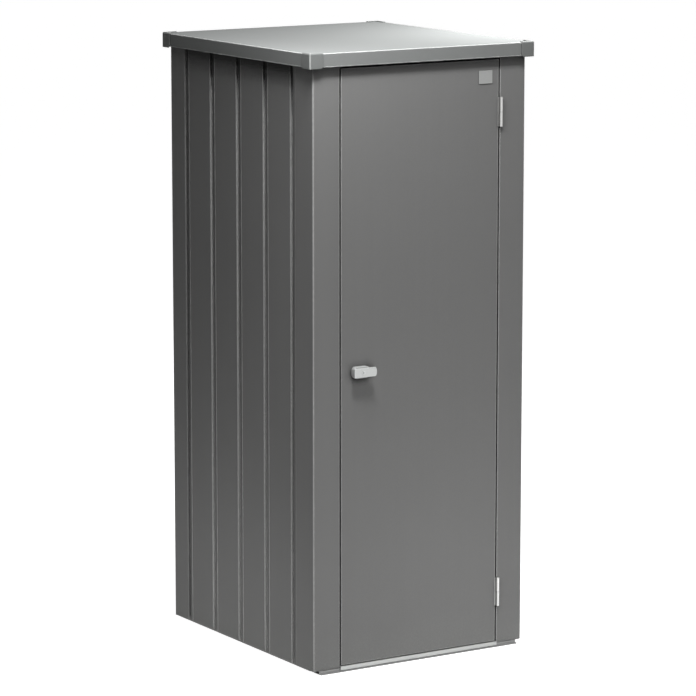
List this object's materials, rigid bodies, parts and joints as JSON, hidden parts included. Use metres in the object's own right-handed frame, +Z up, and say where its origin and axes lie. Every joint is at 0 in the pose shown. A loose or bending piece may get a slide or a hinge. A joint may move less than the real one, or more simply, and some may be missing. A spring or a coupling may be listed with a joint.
{
  "type": "metal garden tool cabinet",
  "caption": "Free-standing sheet-metal garden tool cabinet with grooved walls, flush hinged door, turning lever with locking rods, overhanging roof and aluminium base frame.",
  "frame": {"origin": "on the floor, under the middle of the whole cabinet's box", "axes": "+X to the right seen from the front, +Y from the door to the back, +Z up"},
  "size_m": [0.777, 0.8654, 1.825],
  "materials": {
    "graphite": "satin powder coat, dark metallic grey",
    "roof_grey": "satin powder coat, metallic grey",
    "aluminium": "bare extruded, matt",
    "silver": "fine satin, light silver",
    "zinc": "zinc plated",
    "badge": "satin, bare of any mark",
    "nylon": "moulded, black",
    "rubber": "matt, black"
  },
  "bodies": {
    "cabinet": {"left_front_post": "graphite", "right_front_post": "graphite", "left_rear_post": "graphite", "right_rear_post": "graphite", "left_wall": "graphite", "right_wall": "graphite", "back_wall": "graphite", "top_front_rail": "graphite", "floor_panel": "graphite", "shelf": "graphite", "roof_panel": "roof_grey", "corner_cap_front_left": "roof_grey", "corner_cap_front_right": "roof_grey", "corner_cap_rear_left": "roof_grey", "corner_cap_rear_right": "roof_grey", "base_front_rail": "aluminium", "base_left_rail": "aluminium", "base_right_rail": "aluminium", "base_rear_rail": "aluminium", "base_cross_rail": "aluminium", "door_sill": "aluminium", "upper_hinge_frame_leaf": "silver", "upper_hinge_pin": "silver", "lower_hinge_frame_leaf": "silver", "lower_hinge_pin": "silver", "upper_hinge_washer": "zinc", "lower_hinge_washer": "zinc", "top_left_rail": "zinc", "top_right_rail": "zinc", "top_rear_rail": "zinc", "roof_stiffener": "zinc", "upper_strike_plate": "zinc", "lower_strike_plate": "zinc", "shelf_bracket_left": "zinc", "shelf_bracket_right": "zinc", "tool_rail": "zinc", "tool_hook_left": "zinc", "tool_hook_right": "zinc", "door_buffer_lower": "rubber", "door_buffer_upper": "rubber"},
    "door": {"door_panel": "graphite", "door_stiffener_left": "graphite", "door_stiffener_right": "graphite", "badge_plate": "badge", "upper_hinge_door_leaf": "silver", "lower_hinge_door_leaf": "silver", "handle_rose": "silver", "spindle_bush": "nylon", "upper_rod_guide_inner": "nylon", "upper_rod_guide_outer": "nylon", "lower_rod_guide_inner": "nylon", "lower_rod_guide_outer": "nylon", "lock_case": "zinc"},
    "handle": {"lever": "silver", "spindle": "zinc", "cam_disc": "zinc"},
    "lock_cylinder": {"lock_plug": "silver"},
    "upper_rod": {"upper_lock_rod": "zinc"},
    "lower_rod": {"lower_lock_rod": "zinc"}
  },
  "joints": [
    {"name": "door_swing", "type": "hinge", "parent": "cabinet", "child": "door", "pos_m": [0.28, -0.4123, 0.9], "axis": [0, 0, 1], "range_deg": [0, 175]},
    {"name": "handle_turn", "type": "hinge", "parent": "door", "child": "handle", "pos_m": [-0.2115, -0.4073, 0.8897], "axis": [0, 1, 0], "range_deg": [0, 90]},
    {"name": "key_turn", "type": "hinge", "parent": "handle", "child": "lock_cylinder", "pos_m": [-0.2115, -0.4293, 0.8897], "axis": [0, 1, 0], "range_deg": [0, 90]},
    {"name": "upper_rod_slide", "type": "slide", "parent": "door", "child": "upper_rod", "axis": [0, 0, 1], "range_m": [0, 0.0227]},
    {"name": "lower_rod_slide", "type": "slide", "parent": "door", "child": "lower_rod", "axis": [0, 0, 1], "range_m": [-0.0227, 0]}
  ],
  "couplings": [
    {"joint": "upper_rod_slide", "follows": "handle_turn", "m_per_rad": 0.014405},
    {"joint": "lower_rod_slide", "follows": "handle_turn", "m_per_rad": -0.014405}
  ]
}
